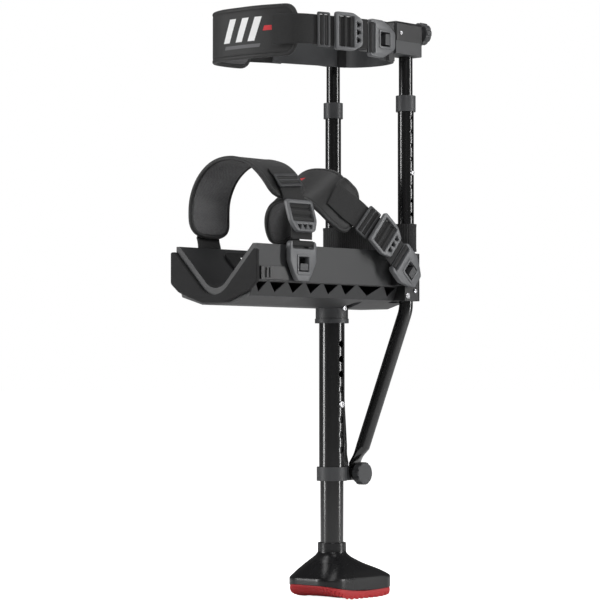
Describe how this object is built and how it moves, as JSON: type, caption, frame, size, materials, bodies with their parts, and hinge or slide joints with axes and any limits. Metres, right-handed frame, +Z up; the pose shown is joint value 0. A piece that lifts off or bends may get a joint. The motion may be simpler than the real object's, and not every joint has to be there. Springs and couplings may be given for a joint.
{
  "type": "strap-on knee crutch",
  "caption": "Strap-on knee crutch: a padded shin trough on a telescopic leg with a rocker foot, braced uprights, buckled straps and a thigh saddle.",
  "frame": {"origin": "on the floor under the axis of the leg tube, on the flat of the rubber tread", "axes": "+X forward, where the bent knee points; +Y the far side; +Z up along the leg tube"},
  "size_m": [0.3492, 0.2047, 0.794],
  "materials": {
    "tube_enamel": "gloss black enamel on aluminium tube",
    "platform_plastic": "fine-grained dark grey moulding",
    "frame_plastic": "satin black moulding",
    "grey_plastic": "mid grey moulding",
    "buckle_plastic": "light grey buckle moulding",
    "strap_foam": "knitted cover on foam, bound edges",
    "webbing": "woven nylon webbing",
    "sleeve_fabric": "ribbed elastic band",
    "foam": "closed cell foam",
    "foot_plastic": "satin black moulding",
    "tread_rubber": "red rubber",
    "steel": "bright steel",
    "spring_steel": "spring steel"
  },
  "bodies": {
    "frame": {"platform_shell": "platform_plastic", "trough_pad": "foam", "rear_lip": "foam", "leg_socket": "grey_plastic", "outer_leg_tube": "tube_enamel", "leg_clamp": "grey_plastic", "clamp_bolt": "steel", "left_brace": "tube_enamel", "right_brace": "tube_enamel", "left_bracket": "frame_plastic", "right_bracket": "frame_plastic", "left_lower_upright": "tube_enamel", "right_lower_upright": "tube_enamel", "upright_collars": "grey_plastic", "bracket_screws": "steel", "knee_sleeve": "sleeve_fabric", "rear_strap_pad": "strap_foam", "rear_strap_webbing": "webbing", "rear_slider": "buckle_plastic", "front_strap_pad": "strap_foam", "front_strap_webbing": "webbing", "front_slider": "buckle_plastic", "calf_strap_anchors": "webbing", "calf_strap_keepers": "buckle_plastic", "calf_strap_pegs": "grey_plastic", "wall_clip": "frame_plastic", "frame_button_springs": "spring_steel"},
    "leg": {"inner_leg_tube": "tube_enamel", "foot_shell": "foot_plastic", "foot_tread": "tread_rubber", "foot_bolt": "steel", "leg_button_springs": "spring_steel"},
    "thigh": {"thigh_saddle": "grey_plastic", "saddle_arm": "grey_plastic", "saddle_cap": "frame_plastic", "left_saddle_cap": "frame_plastic", "cap_rivet": "steel", "saddle_bolt": "steel", "saddle_clips": "frame_plastic", "right_upper_upright": "tube_enamel", "left_upper_upright": "tube_enamel", "thigh_strap_pad": "strap_foam", "thigh_strap_anchor": "webbing", "thigh_strap_webbing": "webbing", "thigh_slider": "buckle_plastic", "thigh_keeper": "buckle_plastic", "thigh_peg": "grey_plastic", "thigh_button_springs": "spring_steel"},
    "leg_button": {"leg_button": "steel"},
    "socket_button": {"socket_button": "steel"},
    "right_brace_button": {"right_brace_button": "steel"},
    "left_brace_button": {"left_brace_button": "steel"},
    "right_upright_button": {"right_upright_button": "steel"},
    "left_upright_button": {"left_upright_button": "steel"},
    "clamp_knob": {"clamp_knob": "grey_plastic"},
    "saddle_knob": {"saddle_knob": "grey_plastic"},
    "rear_hook": {"rear_hook": "buckle_plastic"},
    "front_hook": {"front_hook": "buckle_plastic"},
    "thigh_hook": {"thigh_hook": "buckle_plastic"}
  },
  "joints": [
    {"name": "leg_length", "type": "slide", "parent": "frame", "child": "leg", "axis": [0, 0, 1], "range_m": [-0.06192, 0.06192]},
    {"name": "thigh_height", "type": "slide", "parent": "frame", "child": "thigh", "axis": [0, 0, 1], "range_m": [-0.0381, 0.0762]},
    {"name": "leg_button_press", "type": "slide", "parent": "leg", "child": "leg_button", "axis": [0, 1, 0], "range_m": [0, 0.0042], "stiffness_N_per_m": 600, "springref_m": -0.002, "deforming": ["leg_button_springs"]},
    {"name": "socket_button_press", "type": "slide", "parent": "frame", "child": "socket_button", "axis": [0, 1, 0], "range_m": [0, 0.0075], "stiffness_N_per_m": 600, "springref_m": -0.002, "deforming": ["frame_button_springs"]},
    {"name": "right_brace_button_press", "type": "slide", "parent": "frame", "child": "right_brace_button", "axis": [0, 1, 0], "range_m": [0, 0.0087], "stiffness_N_per_m": 600, "springref_m": -0.002, "deforming": ["frame_button_springs"]},
    {"name": "left_brace_button_press", "type": "slide", "parent": "frame", "child": "left_brace_button", "axis": [0, -1, 0], "range_m": [0, 0.0087], "stiffness_N_per_m": 600, "springref_m": -0.002, "deforming": ["frame_button_springs"]},
    {"name": "right_upright_button_press", "type": "slide", "parent": "thigh", "child": "right_upright_button", "axis": [0, 1, 0], "range_m": [0, 0.0042], "stiffness_N_per_m": 600, "springref_m": -0.002, "deforming": ["thigh_button_springs"]},
    {"name": "left_upright_button_press", "type": "slide", "parent": "thigh", "child": "left_upright_button", "axis": [0, -1, 0], "range_m": [0, 0.0042], "stiffness_N_per_m": 600, "springref_m": -0.002, "deforming": ["thigh_button_springs"]},
    {"name": "clamp_knob_turn", "type": "hinge", "parent": "frame", "child": "clamp_knob", "pos_m": [0.035, -0.025, 0.1683], "axis": [0, -1, 0], "continuous": true},
    {"name": "saddle_knob_turn", "type": "hinge", "parent": "thigh", "child": "saddle_knob", "pos_m": [0.105, -0.073, 0.776], "axis": [1, 0, 0], "continuous": true},
    {"name": "rear_hook_lift", "type": "hinge", "parent": "frame", "child": "rear_hook", "pos_m": [-0.15, -0.079, 0.4744], "axis": [-1, 0, 0], "range_deg": [0, 40]},
    {"name": "front_hook_lift", "type": "hinge", "parent": "frame", "child": "front_hook", "pos_m": [0.03659, -0.089, 0.46328], "axis": [-0.667, 0, -0.745], "range_deg": [0, 40]},
    {"name": "thigh_hook_lift", "type": "hinge", "parent": "thigh", "child": "thigh_hook", "pos_m": [-0.0214, -0.087, 0.7565], "axis": [0, 0, -1], "range_deg": [0, 40]}
  ]
}
